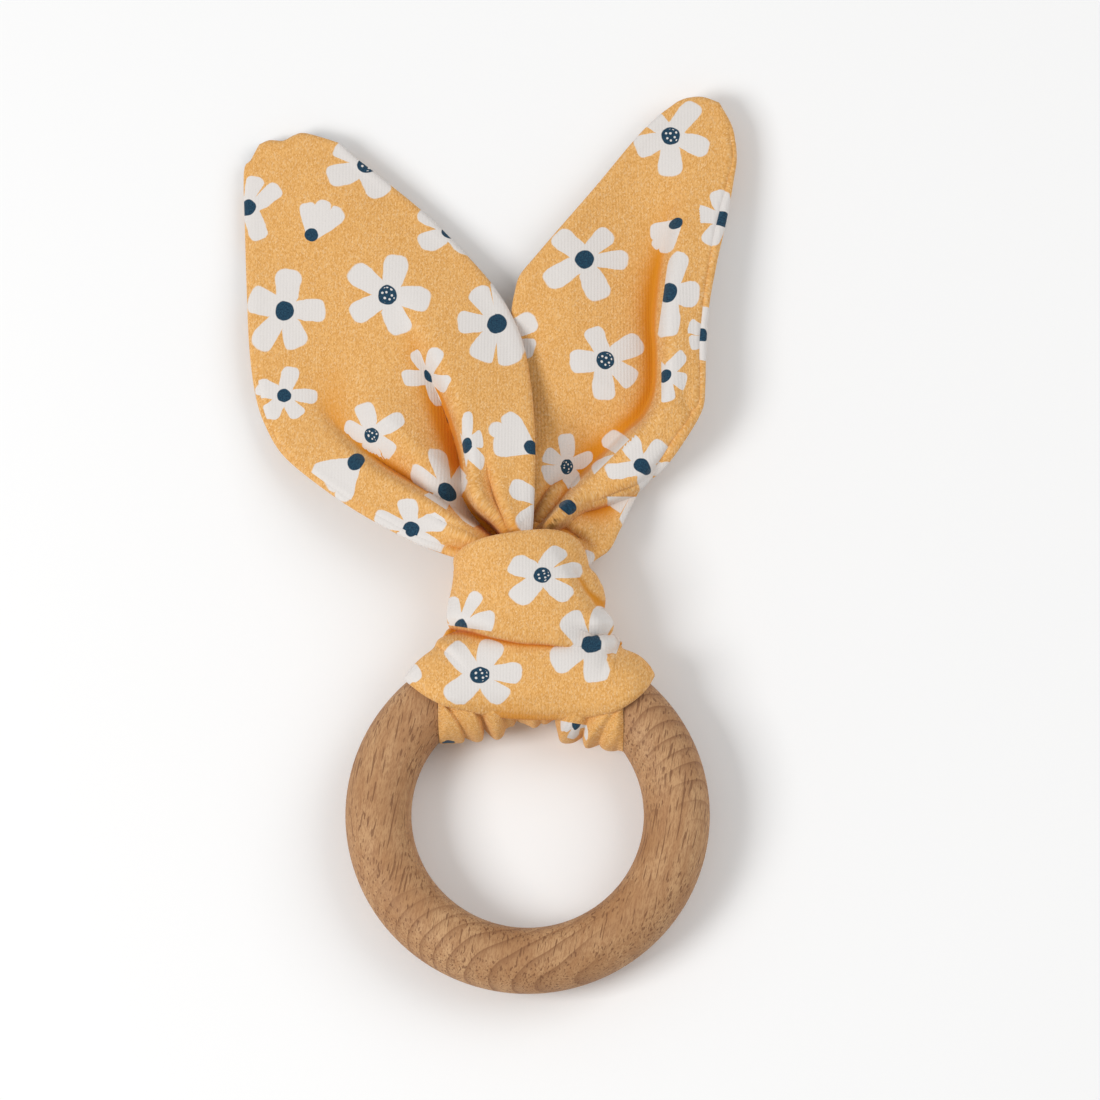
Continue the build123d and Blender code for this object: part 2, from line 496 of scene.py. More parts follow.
def tree_of(*values):
    """The node tree that the first value or socket among these belongs to."""
    sockets = [v.socket if isinstance(v, Value) else v for v in values]
    return next(s.id_data for s in sockets if isinstance(s, bpy.types.NodeSocket))


def node(tree, kind, inputs=(), **settings):
    """Adds a node; inputs are constants, sockets or values, by number or name."""
    made = tree.nodes.new(kind)
    for key, value in settings.items():
        setattr(made, key, value)
    for key, value in dict(inputs).items():
        value = value.socket if isinstance(value, Value) else value
        if isinstance(value, bpy.types.NodeSocket):
            tree.links.new(value, made.inputs[key])
        else:
            made.inputs[key].default_value = value
    return made


def maths(a, operation, b=0.0, c=0.0, clamp=False):
    made = node(tree_of(a, b, c), "ShaderNodeMath", {0: a, 1: b, 2: c}, operation=operation, use_clamp=clamp)
    return Value(made.outputs[0])


def vector_maths(operation, *inputs):
    made = node(tree_of(*inputs), "ShaderNodeVectorMath", dict(enumerate(inputs)), operation=operation)
    return made.outputs[0]


def attribute(tree, name):
    return node(tree, "ShaderNodeAttribute", attribute_name=name).outputs["Vector"]


def split(socket, kind="ShaderNodeSeparateXYZ"):
    """The three numbers of a vector, or with ShaderNodeSeparateColor of a colour."""
    return [Value(part) for part in node(tree_of(socket), kind, {0: socket}).outputs]


def stretched(place, scale):
    return node(tree_of(place), "ShaderNodeMapping", {"Vector": place, "Scale": scale}).outputs[0]


def noise(place, scale, detail, rough=0.5):
    inputs = {"Vector": place, "Scale": scale, "Detail": detail, "Roughness": rough}
    return Value(node(tree_of(place), "ShaderNodeTexNoise", inputs).outputs[0])


def mix(share, a, b):
    """Colour a, with a share of colour b."""
    return node(tree_of(share), "ShaderNodeMix", {0: share, 6: a, 7: b}, data_type="RGBA").outputs[2]


def new_material(name):
    material = bpy.data.materials.new(name)
    material.use_nodes = True
    tree = material.node_tree
    return material, tree, tree.nodes["Principled BSDF"]


def dress(shader, colour, height, bump, depth, rough, shine):
    """Gives a shader its colour, its relief (depth in metres), its roughness and its shine."""
    tree = shader.id_data
    tree.links.new(colour, shader.inputs["Base Color"])
    relief = node(tree, "ShaderNodeBump", {"Strength": bump, "Distance": depth, "Height": height})
    tree.links.new(relief.outputs[0], shader.inputs["Normal"])
    shader.inputs["Roughness"].default_value = rough
    shader.inputs["Specular IOR Level"].default_value = shine


# A bloom is drawn in petal lengths, turned so that its petals lie PETAL_TURN degrees apart.
PETAL_TURN, BUD_TURN = 72, 29
ROUND_FROM = 0.55


def bloom_masks(tree):
    """White petals, navy centre and white specks of the bloom whose coordinates the face carries."""
    place, about = attribute(tree, "print"), attribute(tree, "bloom")
    shown = split(place)[2].maths("LESS_THAN", 0.0)
    what, seed, _ = split(about)
    dotted = what.maths("COMPARE", DOTTED, 0.1)
    bud = what.maths("COMPARE", BUD, 0.1)
    level = vector_maths("MULTIPLY", place, (1.0, 1.0, 0.0))
    wobble_at = vector_maths("ADD", level, about)
    wobble = node(tree, "ShaderNodeTexNoise", {"Vector": wobble_at, "Scale": 2.6, "Detail": 2.0})
    centred = vector_maths("SUBTRACT", wobble.outputs["Color"], (0.5, 0.5, 0.5))
    x, y, _ = split(vector_maths("MULTIPLY_ADD", centred, (0.10, 0.10, 0.0), place))
    radius = (x * x + y * y).maths("SQRT")
    angle = y.maths("ARCTAN2", x)
    # the petal that each place belongs to, numbered from the middle one
    spacing = bud.times_plus(math.radians(BUD_TURN - PETAL_TURN), math.radians(PETAL_TURN))
    most = 2.0 - bud
    petal = (angle / spacing).maths("ROUND").maths("MINIMUM", most).maths("MAXIMUM", most * -1.0)
    which = node(tree, "ShaderNodeCombineXYZ", {0: petal, 1: seed}).outputs[0]
    chance = node(tree, "ShaderNodeTexWhiteNoise", {"Vector": which}, noise_dimensions="3D")
    rolls = split(chance.outputs["Color"], "ShaderNodeSeparateColor")
    length = rolls[1].times_plus(0.2, 0.86)
    breadth = rolls[2].times_plus(0.26, bud.times_plus(-0.12, 0.92))
    # its outline: wider towards its blunt, rounded end
    off = angle - petal * spacing
    ahead = radius * off.maths("COSINE")
    aside = (radius * off.maths("SINE")).maths("ABSOLUTE")
    width = ahead.maths("DIVIDE", length, clamp=True).times_plus(0.145, 0.165) * breadth
    past = (ahead - ROUND_FROM).maths("MAXIMUM", 0.0)
    side = (aside / width).maths("POWER", 3.0)
    end = (past / (length - ROUND_FROM)).maths("POWER", 2.8)
    petals = (1.0 - (side + end).ramp(0.9, 1.15)) * ahead.maths("GREATER_THAN", 0.02)
    disc = (1.0 - radius.ramp(0.34, 0.37)) * (1.0 - bud)
    white = petals.maths("MAXIMUM", disc) * what.maths("LESS_THAN", EYE - 0.5)
    eye = 1.0 - bud.times_plus(0.035, radius).ramp(0.215, 0.235)
    cells = node(tree, "ShaderNodeTexVoronoi", {"Vector": place, "Scale": 8.6, "Randomness": 0.55},
                 voronoi_dimensions="2D")
    speck = 1.0 - Value(cells.outputs["Distance"]).ramp(0.2, 0.28)
    specks = speck * radius.maths("LESS_THAN", 0.18) * dotted
    return white * shown, eye * shown, specks * shown


# the ground's and the petals' colours for cloth lying in a fold are painted shade: darker and more saturated
# orange
GROUND_DARK, GROUND_LIGHT = (0.66, 0.318, 0.078, 1), (0.885, 0.52, 0.195, 1)
GROUND_FLECK, GROUND_PAINTED_SHADE = (0.95, 0.76, 0.50, 1), (0.70, 0.255, 0.004, 1)
PETAL_DARK, PETAL_LIGHT = (0.68, 0.64, 0.61, 1), (0.81, 0.775, 0.745, 1)
PETAL_PAINTED_SHADE, PETAL_RIB = (0.74, 0.60, 0.50, 1), (0.62, 0.55, 0.50, 1)
NAVY_DARK, NAVY_LIGHT = (0.006, 0.026, 0.055, 1), (0.022, 0.085, 0.14, 1)
RIB_WIDTH, STITCH_LENGTH = 0.62, 0.5


def jersey_material():
    """Brushed cotton jersey: heathered mustard ground, printed blooms and fine knit ribs, with painted
    shade, darker and more orange, where the cloth lies in a fold.
    """
    material, tree, shader = new_material("printed_jersey")
    white, eye, specks = bloom_masks(tree)
    s, t, hollow = split(attribute(tree, "cloth"))
    flat = node(tree, "ShaderNodeCombineXYZ", {0: s, 1: t}).outputs[0]
    grain = noise(stretched(flat, (4.0, 3.0, 1.0)), 1.0, 4.0, 0.8)
    loops = node(tree, "ShaderNodeTexVoronoi", {"Vector": stretched(flat, (5.8, 3.4, 1.0)), "Scale": 1.0},
                 voronoi_dimensions="2D")
    yarn = split(loops.outputs["Color"], "ShaderNodeSeparateColor")
    cloud = noise(flat, 0.11, 2.0)
    rib = (s * (2 * math.pi / RIB_WIDTH)).maths("SINE")
    stitch = t.times_plus(2 * math.pi / STITCH_LENGTH, rib).maths("SINE")
    # painted shade: the deeper the front lies in a fold, the more its colour turns to the darker shade
    # colours
    deep = hollow.ramp(0.1, 2.2)
    ground = mix(yarn[0], GROUND_DARK, GROUND_LIGHT)
    ground = mix(yarn[1].ramp(0.78, 0.92) * 0.34, ground, GROUND_FLECK)
    ground = mix(grain.ramp(0.5, 0.62) * 0.16, ground, GROUND_DARK)
    ground = mix(cloud * 0.25, ground, GROUND_DARK)
    ground = mix(rib.times_plus(0.06, 0.06), ground, GROUND_DARK)
    ground = mix(deep * 0.92, ground, GROUND_PAINTED_SHADE)
    petal = mix(grain, PETAL_DARK, PETAL_LIGHT)
    petal = mix(deep * 0.5, petal, PETAL_PAINTED_SHADE)
    petal = mix(rib.times_plus(0.025, 0.025), petal, PETAL_RIB)
    navy = mix(grain.ramp(0.35, 0.7), NAVY_DARK, NAVY_LIGHT)
    colour = mix(specks, mix(eye, mix(white, ground, petal), navy), petal)
    height = grain.times_plus(1.3, rib.times_plus(0.32, stitch * 0.12))
    dress(shader, colour, height, bump=0.5, depth=0.00011, rough=0.88, shine=0.2)
    shader.inputs["Sheen Weight"].default_value = 0.12
    shader.inputs["Sheen Roughness"].default_value = 0.5
    return material


BEECH_LIGHT, BEECH_MID = (0.57, 0.338, 0.168, 1), (0.42, 0.218, 0.094, 1)
BEECH_WARM, BEECH_FIBRE = (0.375, 0.178, 0.074, 1), (0.315, 0.148, 0.064, 1)
BEECH_RING, BEECH_PORE = (0.235, 0.102, 0.042, 1), (0.175, 0.072, 0.030, 1)
GROWTH_RING = 2.6


def beech_material():
    """Sanded, unvarnished beech: growth rings, fine mottled fibre and short dark pores along the grain."""
    material, tree, shader = new_material("turned_beech")
    place = node(tree, "ShaderNodeTexCoord").outputs["Object"]
    grain = (0.10, 0.16, math.radians(11))
    along = node(tree, "ShaderNodeMapping", {"Vector": place, "Rotation": grain}).outputs[0]
    bend = noise(along, 45.0, 2.0)
    layers = node(tree, "ShaderNodeVectorMath", {0: along, 1: (-0.66, 0.62, -0.30)}, operation="DOT_PRODUCT")
    phase = Value(layers.outputs["Value"]).times_plus(1 / (GROWTH_RING * MM), bend * 2.2).maths("FRACT")
    late = phase.maths("POWER", 4.0) * (1.0 - phase.ramp(0.93, 1.0))
    # the rings show at the foot of the ring and at its upper right, and hardly elsewhere
    x, y, _ = split(place)
    high = (x + y).ramp(0.026, 0.042)
    low = (1.0 - y.ramp(-0.030, -0.004)) * (1.0 - x.ramp(0.006, 0.020))
    ring_line = late * low.maths("MAXIMUM", high).times_plus(0.86, 0.14)
    fibre = noise(stretched(along, (3300.0, 640.0, 3300.0)), 1.0, 2.0, 0.7)
    streaks = noise(stretched(along, (620.0, 45.0, 620.0)), 1.0, 2.0)
    pores = noise(stretched(along, (2900.0, 140.0, 2900.0)), 1.0, 0.0).ramp(0.65, 0.71)
    patches = noise(along, 70.0, 3.0)
    colour = mix(patches.ramp(0.3, 0.7), BEECH_LIGHT, BEECH_MID)
    colour = mix(streaks.ramp(0.42, 0.68) * 0.5, colour, BEECH_WARM)
    colour = mix(fibre.ramp(0.42, 0.62) * 0.6, colour, BEECH_FIBRE)
    colour = mix(ring_line, colour, BEECH_RING)
    colour = mix(pores * 0.7, colour, BEECH_PORE)
    height = ring_line.times_plus(-0.5, pores.times_plus(-1.0, fibre * -0.5))
    dress(shader, colour, height, bump=0.6, depth=0.00012, rough=0.62, shine=0.3)
    return material


jersey = jersey_material()


# ---------------------------------------------------------------- ears

EAR_ROWS, EAR_COLUMNS = 250, 190
EAR_HALF = 0.8
RIM_ROUND = 1.1


def from_root(p, root, degrees):
    """Distance along an ear from its root, and across it to the right."""
    d = p - np.array(root)
    c, s = math.cos(math.radians(degrees)), math.sin(math.radians(degrees))
    return d[..., 0] * c + d[..., 1] * s, d[..., 0] * s - d[..., 1] * c


LEFT_LEFT_RIM = [
    (-8.5, 47.0), (-13.5, 49.4), (-20.9, 51.9), (-31.9, 57.7), (-40.4, 63.4), (-47.3, 69.2), (-50.8, 75.0),
    (-52.7, 80.8), (-53.9, 89.5), (-54.5, 101.0), (-54.9, 112.0), (-55.2, 124.2), (-53.9, 126.6),
    (-52.2, 129.8),
]
LEFT_RIGHT_RIM = [
    (-0.5, 47.5), (0.8, 53.5), (1.3, 61.0), (1.5, 70.2), (1.0, 79.8), (-0.4, 89.0), (-2.6, 95.3),
    (-5.9, 101.0), (-10.7, 106.8), (-19.2, 115.5), (-29.8, 124.2), (-33.5, 127.1), (-36.6, 129.9),
]
LEFT_TIP = [
    (-52.2, 129.8), (-50.2, 130.6), (-47.6, 130.5), (-45.6, 131.5), (-43.6, 132.0), (-40.0, 131.1),
    (-36.6, 129.9),
]


def left_ear_height(p):
    x, y = p[..., 0], p[..., 1]
    along, across = from_root(p, (-5.0, 52.0), 117.5)
    z = 1.6 + 3.4 * np.exp(-np.maximum(along, 0) / 26) - 0.072 * along
    z -= 2.2 * (across / 26) ** 2 * smooth(along / 30)
    # the lobe at the lower left lies over the wide middle part
    z += fold(p, [(-7.6, 53.2), (-13.0, 56.7), (-18.6, 60.3), (-24.4, 63.9), (-29.5, 67.0), (-34.6, 70.9),
                 (-39.6, 76.6), (-43.4, 83.6)], 1, 2.6, 5.6, 1.3, 22, 12, near=0.35, fade=0.34)
    # the band on the right folds over the middle part
    z += fold(p, [(-4.4, 54.0), (-6.4, 56.4), (-9.4, 59.2), (-11.3, 62.6), (-11.7, 67.0), (-12.6, 71.6),
                 (-14.0, 76.4), (-16.0, 81.8), (-19.3, 89.0), (-23.0, 96.0), (-27.0, 103.0)], -1, 4.6, 8.4,
                 1.7, 18, 19, near=0.25, fade=0.24)
    # the middle part stands up in a ridge between them
    ridge = np.exp(-((across + 4.5 + 0.10 * along) / (1.4 + 0.17 * np.maximum(along, 0))) ** 2)
    z += 2.0 * ridge * smooth(along / 6) * (1 - smooth((along - 14) / 26))
    # three small pleats that meet at the knot
    z += fold(p, [(-2.4, 53.5), (-4.2, 57.2), (-5.8, 61.0), (-6.9, 65.4), (-7.3, 69.0), (-7.6, 74.0)], -1,
                 1.2, 3.6, 1.1, 4.5, 5.5, near=0.4, fade=0.35)
    z += fold(p, [(-6.2, 52.5), (-8.9, 56.0), (-11.6, 59.6), (-13.4, 63.4), (-14.4, 67.0)], -1, 1.2, 2.2,
                 0.9, 3, 3.4, near=0.5, fade=0.4)
    z += fold(p, [(-9.5, 52.6), (-14.5, 55.0), (-19.5, 57.6), (-24.0, 59.8)], 1, 0.7, 1.2, 0.9, 4, 3,
                 near=0.5, fade=0.3)
    # the pocket under the lobe's foot
    z -= 1.4 * mound(p, -13.6, 51.3, 3.4, 1.6)
    # slow waves in the open cloth
    z += 0.7 * np.sin(x / 6.3 + 1.1) * np.sin(y / 8.7 + 0.4) * smooth(along / 20)
    z -= 1.8 * mound(p, -37.5, 80, 7, 10)
    z += 0.9 * mound(p, 0, 80, 9, 25)
    # the seam, just inside the rim at the lower left
    z += groove(p, [(-13.0, 51.2), (-20.4, 53.1), (-31.2, 58.8), (-39.7, 64.4), (-46.4, 69.9),
                   (-49.9, 75.5), (-51.6, 81.5), (-52.6, 89.5)], 0.26, 0.4, fade=0.9)
    return z


RIGHT_LEFT_RIM = [
    (0.6, 47.0), (0.0, 54.0), (-0.4, 62.0), (-0.6, 70.0), (-0.9, 79.0), (-1.9, 87.0), (-2.9, 93.0),
    (-3.2, 97.0), (-2.4, 101.6), (-1.7, 103.9), (-0.4, 105.7), (0.9, 107.2), (5.5, 112.6), (13.0, 121.3),
    (20.2, 130.0), (24.6, 134.6), (29.0, 138.0),
]
RIGHT_RIGHT_RIM = [
    (8.5, 44.5), (12.6, 48.6), (15.8, 51.0), (17.8, 54.8), (20.7, 60.6), (22.2, 63.3), (26.1, 66.3),
    (30.4, 72.1), (33.7, 77.9), (34.3, 82.4), (34.5, 89.5), (35.1, 98.0), (36.7, 106.8), (38.7, 115.5),
    (40.2, 124.2), (40.4, 128.0), (39.8, 132.9), (37.2, 137.9),
]
RIGHT_TIP = [
    (29.0, 138.0), (31.0, 138.8), (34.0, 139.0), (37.2, 137.9),
]
RIGHT_SEAM = [
    (3.4, 54.6), (6.5, 57.2), (8.8, 59.1), (10.0, 59.8), (13.9, 61.1), (18.0, 62.8), (21.5, 64.5),
    (25.0, 68.4), (27.3, 71.4), (29.9, 74.8), (31.5, 77.4), (32.7, 79.0), (33.0, 83.0), (33.0, 90.8),
    (33.8, 99.0), (34.7, 104.4), (35.9, 110.9), (36.9, 115.3), (38.5, 121.7), (39.5, 127.0), (39.0, 132.0),
]
RIGHT_ROLL = [
    (3.0, 54.9), (5.4, 57.6), (8.0, 60.9), (11.0, 64.2), (15.3, 68.4), (19.6, 72.7), (22.8, 75.6),
    (24.8, 79.0), (25.7, 82.0), (26.0, 86.0), (26.0, 90.0), (25.8, 95.1), (26.4, 101.5), (27.6, 108.5),
    (28.6, 114.9), (30.3, 120.9), (31.4, 127.0),
]


def right_ear_height(p):
    x, y = p[..., 0], p[..., 1]
    along, across = from_root(p, (4.0, 53.0), 73)
    z = 0.6 + 1.0 * np.exp(-np.maximum(along, 0) / 14) - 0.035 * along
    z += 1.2 * (np.minimum(across, 0) / 22) ** 2 * smooth((along - 35) / 20)
    # it runs under the left ear's rim
    z -= 3.0 * np.exp(-((np.maximum(x + 2, 0) / 5) ** 2)) * (1 - smooth((y - 88) / 16))
    # the right side rolls forward over the inside of the ear
    z += fold(p, RIGHT_ROLL, -1, 4.8, 5.0, 1.6, 22, 24, near=0.35, fade=0.6)
    # the deep pocket at the foot of the inside
    z -= 3.4 * mound(p, 9.5, 69, 7, 9)
    # the rolled cloth turns down over the back panel's foot
    z += fold(p, [(2.4, 54.0), (6.5, 56.6), (9.9, 58.9), (14.0, 60.1), (18.4, 61.8), (21.6, 63.8),
                 (24.2, 67.4), (27.0, 71.2), (29.6, 74.4)], 1, 0.8, 5.2, 0.9, 8, 15, near=0.7, fade=0.5)
    # a soft ridge from the knot to the corner of the back panel
    z += fold(p, [(3.4, 53.4), (6.8, 55.9), (12.6, 52.2), (17.5, 50.6)], 1, 1.8, 1.2, 0.8, 3, 4, near=0.8)
    # small pleats at the inside's foot
    z += fold(p, [(1.0, 54.8), (2.6, 59.0), (4.6, 62.2), (7.4, 63.8), (10.5, 64.4)], -1, 2.8, 1.8, 0.7, 3,
                 3, near=0.7, fade=0.5)
    z += fold(p, [(3.2, 55.6), (6.4, 58.8), (9.6, 61.0), (12.4, 62.2)], -1, 1.4, 1.6, 0.6, 3, 2, near=0.8,
                 fade=0.4)
    # small creases inside the roll, and slow waves
    z += fold(p, [(30.6, 76.6), (29.4, 80.0), (29.6, 85.0)], 1, 0.5, 0.6, 0.9, 3, 3, near=1, fade=0.3)
    z += 0.6 * np.sin(x / 5.1 + 0.3) * np.sin(y / 9.3 + 1.7) * smooth(along / 20)
    # the seam, with a narrow rim beyond it
    z += groove(p, RIGHT_SEAM, 0.9, 0.45, fade=0.97)
    return z


LEFT_BLOOMS = [
    bloom(-54.4, 117.4, 7.2, DAISY, (35, 76, 145, 215, 294)),
    bloom(-42.0, 112.0, 7.2, BUD, (69,)),
    bloom(-31.2, 125.8, 8.0, DOTTED, (10, 72, 140, 195, 292)),
    bloom(-15.2, 112.6, 7.0, DAISY, (25, 80, 140, 200, 312)),
    bloom(-47.1, 97.2, 8.8, DAISY, (2, 84, 158, 234, 290), narrow=0.9, along=80),
    bloom(-27.2, 100.3, 8.4, DOTTED, (76, 143, 212, 293, 350)),
    bloom(-47.1, 80.8, 6.0, DAISY, (76, 160, 235, 305, 357)),
    bloom(-5.9, 94.7, 8.6, DAISY, (82, 120, 178, 245, 290)),
    bloom(-19.2, 84.5, 6.0, DAISY, (68, 120, 188, 288, 335), narrow=0.85, along=110),
    bloom(-30.2, 73.1, 6.3, DOTTED, (30, 106, 165, 280, 318)),
    bloom(-33.3, 67.9, 7.8, BUD, (222,)),
    bloom(-22.4, 54.9, 7.2, DAISY, (17, 101, 160, 225, 322), narrow=0.9, along=150, cut=57, reach=5.2),
    bloom(-15.5, 62.0, 9.2, DAISY, (40, 104, 142, 225, 306), narrow=0.62, along=120, cut=237, reach=2.9),
    bloom(-11.9, 71.0, 6.6, DAISY, (30, 96, 150, 260, 305), narrow=0.45, along=98, cut=190, reach=0.7),
    bloom(0.7, 70.7, 8.6, BUD, (150,), narrow=0.85, along=150),
    bloom(3.4, 59.6, 8.6, DAISY, (3, 75, 147, 219, 291), narrow=0.8, along=90),
]
RIGHT_BLOOMS = [
    bloom(27.7, 131.3, 8.0, DOTTED, (52, 135, 200, 270, 340)),
    bloom(11.0, 107.2, 8.2, DAISY, (0, 49, 136, 213, 293)),
    bloom(15.0, 87.6, 7.8, DOTTED, (30, 112, 180, 268, 322)),
    bloom(38.0, 115.0, 6.6, DAISY, (16, 100, 166, 236, 304)),
    bloom(28.6, 114.2, 6.6, BUD, (225,), narrow=0.85, along=225),
    bloom(27.2, 100.7, 8.8, DAISY, (0, 75, 147, 210, 270), narrow=0.6, along=84, cut=172, reach=0.9),
    bloom(33.7, 92.5, 5.8, DAISY, (84, 150, 210, 275, 345), narrow=0.6, along=88),
    bloom(26.4, 84.5, 5.8, DAISY, (60, 130, 200, 275, 340), narrow=0.6, along=80, cut=180, reach=0.6),
    bloom(-5.7, 91.3, 8.6, DAISY, (32, 110, 180, 250, 346)),
    bloom(7.6, 67.1, 6.6, DOTTED, (20, 90, 150, 200, 300), narrow=0.8, along=80),
    bloom(20.4, 68.2, 7.6, DAISY, (30, 132, 200, 270, 330), cut=315, reach=-3.4),
    bloom(21.9, 67.2, 6.3, DAISY, (45, 112, 195, 290, 352), cut=135, reach=5.4),
    bloom(7.4, 59.7, 5.4, EYE, (30, 100, 170, 240, 310), narrow=0.75, along=30),
    bloom(22.0, 63.2, 8.4, DAISY, (60, 140, 225, 256, 300), cut=90, reach=-2.0),
    bloom(9.6, 45.4, 5.2, DAISY, (62, 134, 206, 278, 350)),
]


def make_ear(name, left_rim, right_rim, tip, height, blooms, seed):
    left, right = curve(left_rim, RIM_POINTS), curve(right_rim, RIM_POINTS)
    root = np.linspace(left[0], right[0], 50)
    place = patch(left, right, root, curve(tip, 200), closer_at_ends(EAR_COLUMNS, 0.75),
                  np.linspace(0, 1, EAR_ROWS) ** 1.12)
    z = height(place)
    middle = in_frame(place[..., 0], place[..., 1], z)
    half = rim_half(rim_distance(middle, open_foot=True), EAR_HALF)
    low, high = place.reshape(-1, 2).min(0), place.reshape(-1, 2).max(0)
    # painted shade: besides the folds' hollows, the colour is darkened most where the gathers come out of
    # the knot
    from_knot = np.maximum(np.hypot(place[..., 0] + 1.5, place[..., 1] - 44) - 11, 0)
    deep = hollows(z) + 1.3 * np.exp(-from_knot / 3)
    return two_panels(name, middle, half, True, blooms, scatter(low, high, 15.5, seed), deep)


LEFT_SEED, RIGHT_SEED, KNOT_SEED = 11, 23, 5
left_ear, left_cut = make_ear("left_ear_cloth", LEFT_LEFT_RIM, LEFT_RIGHT_RIM, LEFT_TIP,
                              left_ear_height, LEFT_BLOOMS, LEFT_SEED)
right_ear, right_cut = make_ear("right_ear_cloth", RIGHT_LEFT_RIM, RIGHT_RIGHT_RIM, RIGHT_TIP,
                                right_ear_height, RIGHT_BLOOMS, RIGHT_SEED)

for side, ear, fold_x in (("left", left_ear, -13.0), ("right", right_ear, 9.5)):
    start = (fold_x * MM, 55.5 * MM, 0)
    end = (fold_x * MM, 65.5 * MM, 0)
    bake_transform(ear)
    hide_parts(f"{side}_ear_neck", f"{side}_ear_front_panel", f"{side}_ear_back_panel",
                f"{side}_ear_edge_seam")


# ---------------------------------------------------------------- knot and skirt

KNOT_Z = (band_low.z + band_high.z) / 2 / MM
KNOT_TALL = (band_high.z - band_low.z) / 2 / MM
KNOT_LEFT = [
    (33.0, -14.7), (36.3, -14.6), (38.0, -14.8), (39.9, -14.7), (42.7, -14.1), (46.6, -13.6), (50.2, -13.9),
    (55.0, -13.6),
]
KNOT_RIGHT = [
    (33.0, 16.5), (37.0, 15.8), (39.3, 13.9), (41.4, 14.3), (43.4, 13.9), (45.6, 12.8), (47.3, 11.4),
    (50.4, 10.4), (52.9, 9.2), (55.0, 8.4),
]
FRONT_LEFT = [
    (-23.7, 26.2), (-22.4, 27.9), (-21.2, 29.2), (-19.9, 30.3), (-18.3, 31.5), (-17.3, 32.7), (-16.4, 34.1),
    (-15.6, 35.4), (-14.8, 36.2), (-14.9, 37.6), (-14.8, 39.6), (-14.1, 42.7), (-13.6, 46.6), (-13.7, 48.6),
    (-13.6, 50.0),
]
FRONT_RIGHT = [
    (24.3, 26.8), (23.2, 28.7), (21.0, 30.6), (18.2, 31.7), (17.8, 33.2), (16.6, 34.2), (15.1, 34.6),
    (15.9, 36.0), (15.6, 37.8), (14.3, 39.2), (14.4, 41.4), (13.9, 43.4), (12.8, 45.6), (11.4, 47.3),
    (10.6, 50.4), (9.6, 52.4),
]
FRONT_HEM = [
    (-23.7, 26.2), (-22.4, 25.2), (-19.6, 23.2), (-16.3, 21.5), (-13.7, 20.8), (-10.7, 20.1), (-6.3, 19.3),
    (-1.5, 18.8), (4.8, 18.7), (9.9, 19.0), (15.8, 19.9), (19.5, 21.7), (22.5, 24.2), (24.3, 26.8),
]
FRONT_TOP = [
    (-13.6, 50.0), (-11.9, 51.7), (-8.6, 53.2), (-3.5, 54.3), (0.3, 54.8), (4.4, 54.9), (7.4, 54.1),
    (9.6, 52.4),
]
FOLD_LINE = [
    (-15.4, 36.3), (-13.8, 36.1), (-12.4, 35.7), (-9.3, 34.9), (-6.1, 34.1), (-1.3, 33.1), (3.6, 32.8),
    (8.3, 32.3), (13.0, 31.8), (18.5, 31.4),
]
FRONT_ROWS, FRONT_COLUMNS = 220, 230
FRONT_HALF = 0.7


def over_ring(place, lift):
    """Height of cloth that lies over the gathers on the ring, at picture places."""
    centre = (wrap_high.z - wrap_low.z) / 2 / MM + lift
    width = centre + 1.9
    z = np.full(place.shape[:-1], 7.0)
    for _ in range(8):
        spot = in_frame(place[..., 0], place[..., 1], z)
        reach = np.hypot(spot[..., 0], spot[..., 1])
        z = centre * np.sqrt(np.clip(1 - ((reach - (RING - 1.75)) / width) ** 2, 0.05, 1))
    return z


